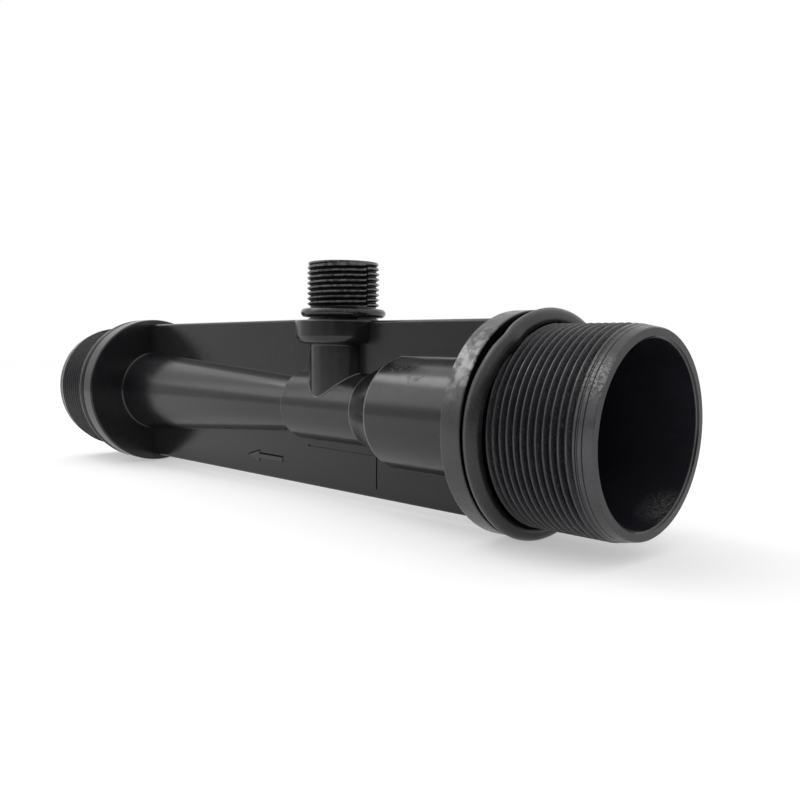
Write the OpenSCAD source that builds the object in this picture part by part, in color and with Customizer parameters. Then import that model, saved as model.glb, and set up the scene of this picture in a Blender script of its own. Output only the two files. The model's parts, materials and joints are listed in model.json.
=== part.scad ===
// Jet eductor: a one-piece moulded venturi body with threaded ends, a threaded
// suction port on top, a stiffening web between its flanges and three rubber rings.
//
// Frame: the flow axis is X and +X leaves the inlet mouth. The suction port rises along +Z.
// The origin is on the flow axis at the foot of the inlet thread.

/* [Flow line] */
// Distance between the sealing faces of the two flanges
face_to_face = 232; // [215:1:290]
// Distance from the inlet flange's sealing face to the suction port's axis
port_from_inlet = 87; // [75:1:105]

/* [End threads] */
// Major diameter of the end threads
thread_d = 59.6; // [58.6:0.1:62]
// Length of an end thread from its foot to the mouth
thread_len = 31.5; // [22:0.1:40]
// Length of the plain lead at the mouth
lead_len = 6.6; // [3:0.2:9]
// Drop in radius across the lead
lead_drop = 1.2; // [0.6:0.1:1.8]
// Bore at each mouth
mouth_d = 51.4; // [46:0.2:52]
// Chamfer on the inner rim of each mouth
mouth_chamfer = 0.6; // [0.2:0.1:1]
// How far the mouth's bore runs past the thread's foot
mouth_run = 4; // [2:0.5:6]

/* [Flanges] */
// How far an end ring stands out past the rim of the flange behind it
ring_proud = 0.55; // [-3:0.05:1.5]
// Flange thickness
flange_t = 7.4; // [5:0.1:10]
// Radius on the flange's outer edges
flange_edge_r = 0.8; // [0.3:0.1:1.5]
// Fillet between a flange and the tube behind it
flange_fillet_r = 2.2; // [0.5:0.1:3]

/* [End rings] */
// Diameter of the plain seat between a flange and its thread
seat_d = 57.2; // [56.4:0.1:58]
// Section of an end ring
ring_section = 5.3; // [4:0.1:6]
// Clearance between a ring and its seat
ring_clear = 0.3; // [0.1:0.05:0.5]
// Gap between an end ring and its flange
ring_face_gap = 1.4; // [0.3:0.1:2]
// Gap between an end ring and the thread's foot
ring_thread_gap = 0.3; // [0.2:0.1:2]

/* [Tubes] */
// Outer diameter of the inlet barrel
barrel_d = 38.2; // [34:0.1:44]
// Outer diameter of the throat tube
throat_d = 26.3; // [24:0.1:30]
// Length of the cone from the barrel down to the throat tube
shoulder_len = 13.6; // [8:0.1:18]
// Throat tube upstream of the port's axis
throat_lead = 22.4; // [18:0.1:26]
// Throat tube downstream of the port's axis
throat_tail = 18.7; // [15:0.1:26]
// Radius on the throat tube's downstream end
throat_round = 0.8; // [0.3:0.1:1.5]
// Outer diameter of the diffuser where it leaves the throat tube
diffuser_start_d = 21.2; // [20.4:0.1:23.5]
// Outer diameter of the diffuser at the outlet flange
diffuser_end_d = 36.2; // [32:0.1:42]

/* [Web] */
// Web thickness
web_t = 5; // [3:0.1:7]
// Height of the web's top edge above the flow axis
web_up = 31.4; // [28:0.1:32]
// Depth of the web's bottom edge below the flow axis
web_down = 31; // [28:0.1:32]
// Rise of the top edge towards the port on the outlet side
web_rise = 1; // [0:0.1:1.5]
// Radius on the web's outer edges
web_edge_r = 1; // [0.2:0.1:1.4]
// Fillet between the web and the straight tubes
web_fillet_r = 1.5; // [0.5:0.1:2]

/* [Suction port] */
// Major diameter of the port's thread
port_thread_d = 26; // [25:0.1:28]
// Length of the port's thread
port_thread_len = 15.8; // [12:0.1:20]
// Length of the tapered lead at the port's mouth
port_lead_len = 3.6; // [1:0.1:6]
// Drop in radius across that lead
port_lead_drop = 0.4; // [0.3:0.1:1]
// Bore of the port
port_bore_d = 18; // [14:0.1:19]
// Diameter of the plain seat under the port's thread
port_seat_d = 24; // [22.4:0.1:24.4]
// Section of the port's ring
port_ring_section = 3.1; // [2.6:0.1:3.6]
// Gap between the port's ring and the step that it sits on
port_ring_face_gap = 0.4; // [0.1:0.1:1]
// Gap between the port's ring and the thread's foot
port_ring_thread_gap = 0.5; // [0.2:0.1:1.5]
// Diameter of the collar under the port's ring
collar_d = 34.8; // [32:0.1:38]
// Height of the collar's top face above the flow axis
collar_top = 31.5; // [28:0.1:34]
// Thickness of the collar
collar_t = 8.4; // [6:0.1:11]
// Diameter of the low step on the collar that the port's ring sits on
step_d = 25.6; // [24.6:0.1:30]
// Height of that step
step_h = 0.8; // [0.3:0.1:1.5]
// Radius on the collar's top edge
collar_edge_r = 0.6; // [0.2:0.1:1]
// Radius on the collar's lower edge
collar_round = 3; // [1:0.1:4]
// Diameter of the column between the collar and the throat tube
column_d = 24.9; // [23:0.1:26]

/* [Passage] */
// Wall of the barrel, and of the diffuser at the outlet flange
wall = 3.6; // [2.6:0.1:4.5]
// Length of the converging cone up to the nozzle
converge_len = 32; // [22:0.5:38]
// Bore of the nozzle
nozzle_d = 12; // [9:0.1:14]
// Straight land at the nozzle's tip
nozzle_land = 4; // [2:0.5:6]
// Distance of the nozzle's tip upstream of the port's axis
nozzle_tip = 5; // [3:0.5:8]
// Bore of the throat downstream of the nozzle
throat_bore_d = 15; // [14.2:0.1:17]
// Hole from the port's bore into the throat
suction_hole_d = 11; // [8:0.1:13]
// Height of the port bore's floor above the throat tube
suction_floor = 0.8; // [0.4:0.1:3]

/* [Hidden] */
$fn = 96;

// Overlap that joins neighbouring solids, and overrun that clears a cut
join = 1;
overrun = 1;

// Radii
thread_r = thread_d / 2;
mouth_r = mouth_d / 2;
seat_r = seat_d / 2;
flange_r = seat_r + ring_clear + ring_section - ring_proud;
barrel_r = barrel_d / 2;
throat_r = throat_d / 2;
diffuser_start_r = diffuser_start_d / 2;
diffuser_end_r = diffuser_end_d / 2;
port_thread_r = port_thread_d / 2;
port_bore_r = port_bore_d / 2;
port_seat_r = port_seat_d / 2;
collar_r = collar_d / 2;
step_r = step_d / 2;
nozzle_r = nozzle_d / 2;
throat_bore_r = throat_bore_d / 2;
suction_hole_r = suction_hole_d / 2;

// Stations along the flow axis, from the inlet back to the outlet
seat_len = ring_face_gap + ring_section + ring_thread_gap;
end_len = seat_len + thread_len;
inlet_face = -seat_len;
outlet_face = inlet_face - face_to_face;
inlet_back = inlet_face - flange_t;
outlet_back = outlet_face + flange_t;
port_x = inlet_face - port_from_inlet;
shoulder_end = port_x + throat_lead;
shoulder_start = shoulder_end + shoulder_len;
throat_end = port_x - throat_tail;
nozzle_end = port_x + nozzle_tip;
nozzle_start = nozzle_end + nozzle_land;
converge_start = nozzle_start + converge_len;

// Levels along the port's axis
port_seat_len = port_ring_face_gap + port_ring_section + port_ring_thread_gap;
step_top = collar_top + step_h;
port_foot = step_top + port_seat_len;
port_top = port_foot + port_thread_len;
collar_bottom = collar_top - collar_t;
suction_cone_top = throat_r + suction_floor + port_bore_r - suction_hole_r;

// A shape drawn as [radius, station] and turned about the flow axis
module about_flow() {
    rotate([0, 90, 0])
        rotate_extrude()
            children();
}

// A shape drawn as [radius, height] and turned about the port's axis
module about_port() {
    translate([port_x, 0, 0])
        rotate_extrude()
            children();
}

// Half section of a disc from station a up to b, with its two outer edges rounded
module disc_section(r, a, b, edge_a, edge_b) {
    difference() {
        translate([0, a])
            square([r, b - a]);
        translate([r - edge_a, a])
            square(edge_a);
        translate([r - edge_b, b - edge_b])
            square(edge_b);
    }
    translate([r - edge_a, a + edge_a])
        circle(edge_a);
    translate([r - edge_b, b - edge_b])
        circle(edge_b);
}

// Half section of one end, with its sealing face at station 0 and its mouth above
module end_section(tube_r) {
    polygon([
        [0, -join],
        [seat_r, -join],
        [seat_r, seat_len],
        [thread_r, seat_len],
        [thread_r, end_len - lead_len],
        [thread_r - lead_drop, end_len],
        [0, end_len]
    ]);
    disc_section(flange_r, -flange_t, 0, flange_edge_r, flange_edge_r);
    difference() {
        translate([0, -flange_t - flange_fillet_r])
            square([tube_r + flange_fillet_r, flange_fillet_r + join]);
        translate([tube_r + flange_fillet_r, -flange_t - flange_fillet_r])
            circle(flange_fillet_r);
    }
}

// Half section of the barrel, the shoulder, the throat tube and the diffuser
module tube_section() {
    polygon([
        [0, inlet_back + join],
        [barrel_r, inlet_back + join],
        [barrel_r, shoulder_start],
        [throat_r, shoulder_end],
        [throat_r, port_x],
        [0, port_x]
    ]);
    disc_section(throat_r, throat_end, port_x + throat_round, throat_round, throat_round);
    polygon([
        [0, throat_end + join],
        [diffuser_start_r, throat_end + join],
        [diffuser_start_r, throat_end],
        [diffuser_end_r, outlet_back],
        [diffuser_end_r, outlet_back - join],
        [0, outlet_back - join]
    ]);
}

// Half section of the water's way through, both mouths included
module passage_section() {
    polygon([
        [0, thread_len + overrun],
        [mouth_r + mouth_chamfer, thread_len + overrun],
        [mouth_r + mouth_chamfer, thread_len],
        [mouth_r, thread_len - mouth_chamfer],
        [mouth_r, -mouth_run],
        [barrel_r - wall, inlet_back],
        [barrel_r - wall, converge_start],
        [nozzle_r, nozzle_start],
        [nozzle_r, nozzle_end],
        [throat_bore_r, nozzle_end],
        [throat_bore_r, throat_end],
        [diffuser_end_r - wall, outlet_back],
        [mouth_r, outlet_face - seat_len + mouth_run],
        [mouth_r, outlet_face - end_len + mouth_chamfer],
        [mouth_r + mouth_chamfer, outlet_face - end_len],
        [mouth_r + mouth_chamfer, outlet_face - end_len - overrun],
        [0, outlet_face - end_len - overrun]
    ]);
}

// Section of the web on one side of the flow axis, with its outer edge rounded
module web_section(height) {
    half = web_t / 2;
    translate([-half, 0])
        square([web_t, height - web_edge_r]);
    translate([web_edge_r - half, 0])
        square([web_t - 2 * web_edge_r, height]);
    for (side = [-1, 1])
        translate([side * (half - web_edge_r), height - web_edge_r])
            circle(web_edge_r);
}

// A stretch of that section along the flow axis
module web_run(height, length) {
    rotate([90, 0, 90])
        linear_extrude(length)
            web_section(height);
}

// The upright web in the mid plane, between the flanges
module web() {
    outlet_run = port_x - outlet_back;
    translate([outlet_back - join, 0, 0])
        rotate([180, 0, 0])
            web_run(web_down, inlet_back - outlet_back + 2 * join);
    translate([port_x, 0, 0])
        web_run(web_up, inlet_back + join - port_x);
    translate([outlet_back, 0, 0])
        rotate([0, -atan(web_rise / outlet_run), 0])
            translate([-join, 0, 0])
                web_run(web_up, outlet_run + join);
}

// The fillet where one quarter of a straight tube runs into the web, from station a up to b
module web_fillet(tube_r, a, b) {
    side = web_t / 2 + web_fillet_r;
    height = sqrt(pow(tube_r + web_fillet_r, 2) - pow(side, 2));
    translate([a, 0, 0])
        rotate([90, 0, 90])
            linear_extrude(b - a)
                difference() {
                    polygon([[0, 0], [side, height], [0, height]]);
                    translate([side, height])
                        circle(web_fillet_r);
                }
}

// The same fillet on both faces of the web, above and below the tube
module web_fillets(tube_r, a, b) {
    for (turn = [0, 180])
        rotate([turn, 0, 0]) {
            web_fillet(tube_r, a, b);
            mirror([0, 1, 0])
                web_fillet(tube_r, a, b);
        }
}

// Half section of the suction port: column, collar, step, seat and thread
module port_section() {
    square([column_d / 2, collar_top - collar_edge_r]);
    disc_section(collar_r, collar_bottom, collar_top, collar_round, collar_edge_r);
    polygon([
        [0, collar_bottom],
        [step_r, collar_bottom + collar_round],
        [step_r, step_top],
        [port_seat_r, step_top],
        [port_seat_r, port_foot],
        [port_thread_r, port_foot],
        [port_thread_r, port_top - port_lead_len],
        [port_thread_r - port_lead_drop, port_top],
        [0, port_top]
    ]);
}

// Half section of the port's bore and the hole into the throat
module suction_section() {
    polygon([
        [0, 0],
        [suction_hole_r, 0],
        [suction_hole_r, throat_r + suction_floor],
        [port_bore_r, suction_cone_top],
        [port_bore_r, port_top + overrun],
        [0, port_top + overrun]
    ]);
}

module body() {
    color([0.07, 0.07, 0.075])
        difference() {
            union() {
                about_flow()
                    union() {
                        translate([0, inlet_face])
                            end_section(barrel_r);
                        translate([0, outlet_face])
                            mirror([0, 1])
                                end_section(diffuser_end_r);
                        tube_section();
                    }
                web();
                web_fillets(barrel_r, shoulder_start, inlet_back + join);
                web_fillets(throat_r, throat_end + throat_round, shoulder_end);
                about_port()
                    port_section();
            }
            about_flow()
                passage_section();
            about_port()
                suction_section();
        }
}

// A rubber ring of round section, given its seat's radius and its middle station
module ring_section_at(seat, section, middle) {
    translate([seat + ring_clear + section / 2, middle])
        circle(section / 2);
}

module inlet_o_ring() {
    color([0.03, 0.03, 0.03])
        about_flow()
            ring_section_at(seat_r, ring_section, inlet_face + ring_face_gap + ring_section / 2);
}

module outlet_o_ring() {
    color([0.03, 0.03, 0.03])
        about_flow()
            ring_section_at(seat_r, ring_section, outlet_face - ring_face_gap - ring_section / 2);
}

module suction_o_ring() {
    color([0.03, 0.03, 0.03])
        about_port()
            ring_section_at(port_seat_r, port_ring_section,
                            step_top + port_ring_face_gap + port_ring_section / 2);
}

body();
inlet_o_ring();
outlet_o_ring();
suction_o_ring();
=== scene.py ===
"""Looks of a moulded jet eductor: its body with cut threads, its rubber rings and a plain studio.

Lengths are millimetres until a mesh is made, and every mesh is in metres in the frame of the solids.
The flow axis is X, +X leaves the inlet mouth, and the suction port rises along +Z.
"""

import json
import logging
import math
from collections.abc import Callable, Sequence
from dataclasses import dataclass, field
from enum import Enum

import bmesh
import bpy
import numpy as np
from mathutils import Matrix, Vector


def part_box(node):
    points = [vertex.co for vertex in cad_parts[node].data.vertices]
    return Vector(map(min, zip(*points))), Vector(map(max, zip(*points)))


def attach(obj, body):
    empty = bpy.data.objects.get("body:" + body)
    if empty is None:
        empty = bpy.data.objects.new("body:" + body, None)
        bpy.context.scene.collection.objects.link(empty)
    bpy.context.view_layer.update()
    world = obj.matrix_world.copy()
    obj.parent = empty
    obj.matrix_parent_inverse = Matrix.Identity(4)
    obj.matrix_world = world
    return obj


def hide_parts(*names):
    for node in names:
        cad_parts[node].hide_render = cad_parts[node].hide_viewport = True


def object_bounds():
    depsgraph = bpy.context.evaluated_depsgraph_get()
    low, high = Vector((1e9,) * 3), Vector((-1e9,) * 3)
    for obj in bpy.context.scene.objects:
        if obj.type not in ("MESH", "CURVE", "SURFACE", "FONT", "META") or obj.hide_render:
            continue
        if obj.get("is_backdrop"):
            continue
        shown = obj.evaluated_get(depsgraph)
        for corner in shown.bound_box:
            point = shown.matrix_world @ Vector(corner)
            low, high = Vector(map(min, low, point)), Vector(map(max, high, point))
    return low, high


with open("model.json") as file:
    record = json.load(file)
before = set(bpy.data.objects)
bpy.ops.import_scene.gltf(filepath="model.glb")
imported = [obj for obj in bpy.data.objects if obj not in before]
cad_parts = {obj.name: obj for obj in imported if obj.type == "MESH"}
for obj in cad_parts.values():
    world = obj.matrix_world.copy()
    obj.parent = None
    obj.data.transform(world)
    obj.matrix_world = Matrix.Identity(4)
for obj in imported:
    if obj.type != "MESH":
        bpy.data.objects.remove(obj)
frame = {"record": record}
CAD_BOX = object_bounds()

LOG = logging.getLogger("eductor")
MM = 0.001
ROOT = "root"
FULL_TURN = 2 * math.pi
ARC_STEP = 12.0
FINE_ARC_STEP = 6.0
STRAIGHT = 1e-4
MIX_SHARE, MIX_FIRST, MIX_SECOND, MIX_RESULT = 0, 6, 7, 2

Piece = bpy.types.Object
Socket = bpy.types.NodeSocket
Point2 = tuple[float, float]
Point3 = tuple[float, float, float]
Colour = tuple[float, float, float, float]


class Joining(Enum):
    """How one closed mesh is put together with another."""

    ADD = "UNION"
    CUT = "DIFFERENCE"


class ThreadForm(Enum):
    """The section of a thread."""

    NARROW_CREST = "narrow crests between wide grooves"
    ROUNDED = "round ridges between narrow grooves"


class Surface(Enum):
    """The kinds of surface on the moulding, by the place of their finish in its list; three carry painted
    shade or painted highlight.
    """

    TUBE = 0
    RUBBED = 1
    GROOVE = 2
    BORE = 3
    EDGE = 4
    PAINTED_SHADE = 5
    FLAT = 6


class Slot(Enum):
    """The record's material slots."""

    PLASTIC = "body_plastic"
    RUBBER = "ring_rubber"


class Line(Enum):
    """The lines that shapes are turned about, as (along, first side, second side), right-handed."""

    INLET = (Vector((1, 0, 0)), Vector((0, 1, 0)), Vector((0, 0, 1)))
    OUTLET = (Vector((-1, 0, 0)), Vector((0, -1, 0)), Vector((0, 0, 1)))
    PORT = (Vector((0, 0, 1)), Vector((1, 0, 0)), Vector((0, 1, 0)))


@dataclass
class Frame:
    """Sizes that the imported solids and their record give, in millimetres."""

    record: dict
    body_low: Vector = field(default_factory=lambda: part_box("body")[0] / MM)
    body_high: Vector = field(default_factory=lambda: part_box("body")[1] / MM)

    def mount(self, name: str) -> tuple[Vector, float, float]:
        """Look up a mount.

        Args:
            name: The mount's name.

        Returns:
            Its place, its radius and its length.
        """
        found = next(mount for mount in self.record["mounts"] if mount["name"] == name)
        sizes = found["dims"]
        return Vector(found["pos_m"]) / MM, sizes["r_mm"], sizes["length_mm"]

    def ring(self, node: str, line: Line) -> tuple[Vector, float, float]:
        """Measure a ring.

        Args:
            node: The ring's node.
            line: The line it lies around.

        Returns:
            Its centre, the radius of its middle line and its section.
        """
        low, high = (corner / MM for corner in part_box(node))
        size = high - low
        section = abs(size.dot(line.value[0]))
        return (low + high) / 2, (size.y - section) / 2, section


@dataclass(frozen=True)
class Corner:
    """A corner of an outline and the radius that rounds it."""

    along: float
    out: float
    radius: float = 0.0


def corner_arc(before: Corner, corner: Corner, after: Corner, step: float) -> list[Point2]:
    """Round one corner of an outline.

    Args:
        before: The corner ahead of it.
        corner: The corner to round.
        after: The corner behind it.
        step: The largest turn between two points, in radians.

    Returns:
        The points of the arc, or the corner itself where it has no radius.
    """
    here = Vector((corner.along, corner.out))
    come = (here - Vector((before.along, before.out))).normalized()
    leave = (Vector((after.along, after.out)) - here).normalized()
    turn = math.atan2(come.x * leave.y - come.y * leave.x, come.dot(leave))
    if corner.radius == 0 or abs(turn) < STRAIGHT:
        return [(corner.along, corner.out)]
    start = here - come * corner.radius * math.tan(abs(turn) / 2)
    centre = start + Vector((-come.y, come.x)) * math.copysign(corner.radius, turn)
    arm = start - centre
    steps = max(2, math.ceil(abs(turn) / step))
    points = []
    for i in range(steps + 1):
        cos, sin = math.cos(turn * i / steps), math.sin(turn * i / steps)
        points.append((centre.x + arm.x * cos - arm.y * sin, centre.y + arm.x * sin + arm.y * cos))
    return points


def rounded(corners: Sequence[Corner], step_deg: float = ARC_STEP) -> list[Point2]:
    """Draw an open outline through corners, with an arc at each corner that has a radius.

    Args:
        corners: The outline's corners, in order.
        step_deg: The largest turn between two points of an arc.

    Returns:
        The outline as (along, out) points.
    """
    outline = [(corners[0].along, corners[0].out)]
    for before, corner, after in zip(corners, corners[1:], corners[2:]):
        outline += corner_arc(before, corner, after, math.radians(step_deg))
    outline.append((corners[-1].along, corners[-1].out))
    return outline


def linked(name: str, data: bpy.types.ID) -> Piece:
    """Make an object and link it to the scene.

    Args:
        name: The object's name.
        data: Its mesh, lamp or camera.

    Returns:
        The object.
    """
    made = bpy.data.objects.new(name, data)
    bpy.context.scene.collection.objects.link(made)
    return made


class ClosedMesh:
    """Points and faces of one closed mesh in the making, in millimetres."""

    def __init__(self) -> None:
        """Start with no points and no faces."""
        self.points: list[Vector] = []
        self.faces: list[tuple[int, ...]] = []

    def ring(self, points: Sequence[Vector]) -> list[int]:
        """Add a loop of points.

        Args:
            points: The loop's points, in order.

        Returns:
            The points' numbers.
        """
        first = len(self.points)
        self.points += points
        return list(range(first, len(self.points)))

    def face(self, numbers: Sequence[int]) -> None:
        """Add a face, without repeated corners, unless fewer than three are left.

        Args:
            numbers: The face's corners, in order.
        """
        corners = tuple(dict.fromkeys(numbers))
        if len(corners) > 2:
            self.faces.append(corners)

    def skin(self, first: Sequence[int], second: Sequence[int]) -> None:
        """Span two loops of as many points with four-sided faces.

        Args:
            first: One loop.
            second: The other loop.
        """
        count = len(first)
        for i in range(count):
            j = (i + 1) % count
            self.face((first[i], first[j], second[j], second[i]))

    def row(self, rings: Sequence[list[int]], endless: bool = False) -> None:
        """Span a row of loops, and close it with a face at each end or into a ring.

        Args:
            rings: The loops, in order.
            endless: Whether the last loop meets the first one.
        """
        for first, second in zip(rings, rings[1:]):
            self.skin(first, second)
        if endless:
            self.skin(rings[-1], rings[0])
        else:
            self.face(rings[0])
            self.face(rings[-1])

    def object(self, name: str) -> Piece:
        """Make a Blender object of the mesh, in metres, with its faces turned outwards.

        Args:
            name: The object's name.

        Returns:
            The object, linked to the scene.
        """
        mesh = bpy.data.meshes.new(name)
        mesh.from_pydata([point * MM for point in self.points], [], self.faces)
        shape = bmesh.new()
        shape.from_mesh(mesh)
        bmesh.ops.recalc_face_normals(shape, faces=shape.faces)
        shape.to_mesh(mesh)
        shape.free()
        return linked(name, mesh)


def prism(name: str, outline: Sequence[Point2], near: float, far: float) -> Piece:
    """Make a prism from an outline in the upright plane through the flow axis.

    Args:
        name: The object's name.
        outline: The outline as (x, z) points.
        near: The prism's first y.
        far: The prism's last y.

    Returns:
        The prism.
    """
    made = ClosedMesh()
    made.row([made.ring([Vector((x, y, z)) for x, z in outline]) for y in (near, far)])
    return made.object(name)


def evaluated(piece: Piece) -> None:
    """Replace a piece's mesh by what its modifiers make of it.

    Args:
        piece: The piece, which loses its modifiers.
    """
    bpy.context.view_layer.update()
    made = piece.evaluated_get(bpy.context.evaluated_depsgraph_get())
    mesh = bpy.data.meshes.new_from_object(made)
    piece.modifiers.clear()
    old = piece.data
    piece.data = mesh
    bpy.data.meshes.remove(old)


def join(piece: Piece, other: Piece, how: Joining) -> None:
    """Add another closed mesh to a piece, or cut it out, and delete that mesh.

    Args:
        piece: The piece that is changed.
        other: The mesh that is added or cut out.
        how: Which of the two.
    """
    boolean = piece.modifiers.new(other.name, "BOOLEAN")
    boolean.solver = "MANIFOLD"
    boolean.operation = how.value
    boolean.object = other
    evaluated(piece)
    mesh = other.data
    bpy.data.objects.remove(other)
    bpy.data.meshes.remove(mesh)


@dataclass(frozen=True)
class Thread:
    """A right-hand screw thread, cut into a blank.

    A mould in two halves leaves a nick down the thread at two opposite places, and the halves are a
    little out of step.
    """

    form: ThreadForm
    pitch: float
    depth: float
    crest_at: float
    start_depth: float
    run_out: float
    parting_angle: float
    nick: float
    mismatch: float
    nick_columns: float = 1.5
    step_slope: float = 12.0
    crest: float = 0.1
    root: float = 0.24
    corner: float = 0.025
    ridge_power: float = 1.5
    ridge_steps: int = 12
    flank_steps: int = 3

    def phases(self) -> list[float]:
        """Give the shares of a turn at which the section is drawn.

        Returns:
            The shares, in rising order.
        """
        if self.form is ThreadForm.ROUNDED:
            return [step / self.ridge_steps for step in range(self.ridge_steps)]
        crest, root = self.crest / 2, 0.5 - self.root / 2
        falling = [corner + shift for corner in (crest, root) for shift in (-self.corner, self.corner)]
        falling += [crest + (root - crest) * step / self.flank_steps for step in range(1, self.flank_steps)]
        return sorted(falling + [1 - phase for phase in falling])

    def groove(self, phase: float) -> float:
        """Give the depth of the groove at a share of a turn.

        Args:
            phase: The share of a turn, 0 in the middle of a crest.

        Returns:
            0 on the crest and 1 at the root.
        """
        if self.form is ThreadForm.ROUNDED:
            return (0.5 - 0.5 * math.cos(FULL_TURN * phase)) ** self.ridge_power
        off_crest = abs(phase - round(phase)) - self.crest / 2
        flank = (1 - self.crest - self.root) / 2
        return min(1.0, max(0.0, off_crest / flank))

    def depth_at(self, station: float, start: float, end: float) -> float:
        """Give the thread's depth along its length.

        Args:
            station: Where along the thread.
            start: Where the thread starts.
            end: Where it has run out.

        Returns:
            The depth, less at the start and nothing at the end.
        """
        rise = min(1.0, (station - start) / self.pitch)
        fall = min(1.0, max(0.0, (end - station) / self.run_out))
        return (self.start_depth + (self.depth - self.start_depth) * rise) * math.sqrt(fall)

    def parting(self, angle: float, width: float) -> float:
        """Give how near an angle is to a parting line, from 1 on it to 0 at the nick's half width."""
        off = (angle - self.parting_angle + math.pi / 2) % math.pi - math.pi / 2
        return max(0.0, 1 - abs(off) / width)

    def step_at(self, angle: float) -> float:
        """Give the shift along the line between the two halves of the mould at an angle."""
        return self.mismatch * math.tanh(self.step_slope * math.sin(angle - self.parting_angle))


@dataclass(frozen=True)
class Blank:
    """The plain bar that a thread is cut into, which tapers at the mouth."""

    radius: float
    straight: float
    mouth: float
    drop: float

    def at(self, station: float) -> float:
        """Give the radius at a distance from the thread's foot."""
        return self.radius - self.drop * max(0.0, station - self.straight) / (self.mouth - self.straight)


class Turning:
    """A closed solid turned about a line, from its first station to its last."""

    def __init__(self, line: Line, origin: Vector, segments: int) -> None:
        """Start a solid.

        Args:
            line: The line it is turned about.
            origin: The point of the line at station 0.
            segments: The points around each ring.
        """
        self.mesh = ClosedMesh()
        self.along, self.first_side, self.second_side = line.value
        self.origin = origin
        self.segments = segments
        self.last: list[int] = []

    def point(self, station: float, radius: float, angle: float) -> Vector:
        """Give the point at a station, a radius and an angle."""
        side = self.first_side * math.cos(angle) + self.second_side * math.sin(angle)
        return self.origin + self.along * station + side * radius

    def angle(self, column: int) -> float:
        """Give a column's angle."""
        return FULL_TURN * column / self.segments

    def follow(self, ring: list[int]) -> None:
        """Join a ring to the last one, or close the solid's start with it.

        Args:
            ring: The ring's points.
        """
        if self.last:
            self.mesh.skin(self.last, ring)
        else:
            self.mesh.face(ring)
        self.last = ring

    def plain(self, outline: Sequence[Point2]) -> None:
        """Turn a stretch of outline.

        Args:
            outline: The stretch as (station, radius) points.
        """
        for station, radius in outline:
            angles = map(self.angle, range(self.segments))
            self.follow(self.mesh.ring([self.point(station, radius, angle) for angle in angles]))

    def threaded(self, thread: Thread, start: float, end: float, blank: Callable[[float], float]) -> None:
        """Turn a threaded stretch, with rows of points that follow the helix.

        Args:
            thread: The thread.
            start: The stretch's first station.
            end: The stretch's last station.
            blank: The radius of the blank at a station.
        """
        phases = thread.phases()
        first = math.floor((start - thread.crest_at) / thread.pitch) - 2
        last = math.ceil((end - thread.crest_at) / thread.pitch) + 1
        rows = [thread.pitch * (turn + phase) for turn in range(first, last) for phase in phases]
        nick_width = thread.nick_columns * FULL_TURN / self.segments
        columns = []
        for column in range(self.segments):
            angle = self.angle(column)
            numbers: dict[float, int] = {}
            lead = thread.crest_at + thread.pitch * angle / FULL_TURN
            for row in rows:
                station = min(end, max(start, lead + row))
                if station in numbers:
                    continue
                phase = (station + thread.step_at(angle) - lead) / thread.pitch
                tapered = blank(start) - blank(station)
                cut = max(0.0, thread.depth_at(station, start, end) * thread.groove(phase) - tapered)
                nick = thread.nick * thread.parting(angle, nick_width) * (station < end)
                radius = max(blank(station) - thread.depth, blank(station) - cut - nick)
                numbers[station] = self.mesh.ring([self.point(station, radius, angle)])[0]
            columns.append([numbers[min(end, max(start, lead + row))] for row in rows])
        self.follow([column[0] for column in columns])
        for column, numbers in enumerate(columns):
            following = columns[column + 1] if column + 1 < self.segments else columns[0][len(phases):]
            for row in range(len(following) - 1):
                self.mesh.face((numbers[row], following[row], following[row + 1], numbers[row + 1]))
        self.last = [column[-1] for column in columns]

    def object(self, name: str) -> Piece:
        """Close the solid with a flat face on its last ring and make an object of it."""
        self.mesh.face(self.last)
        return self.mesh.object(name)


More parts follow.
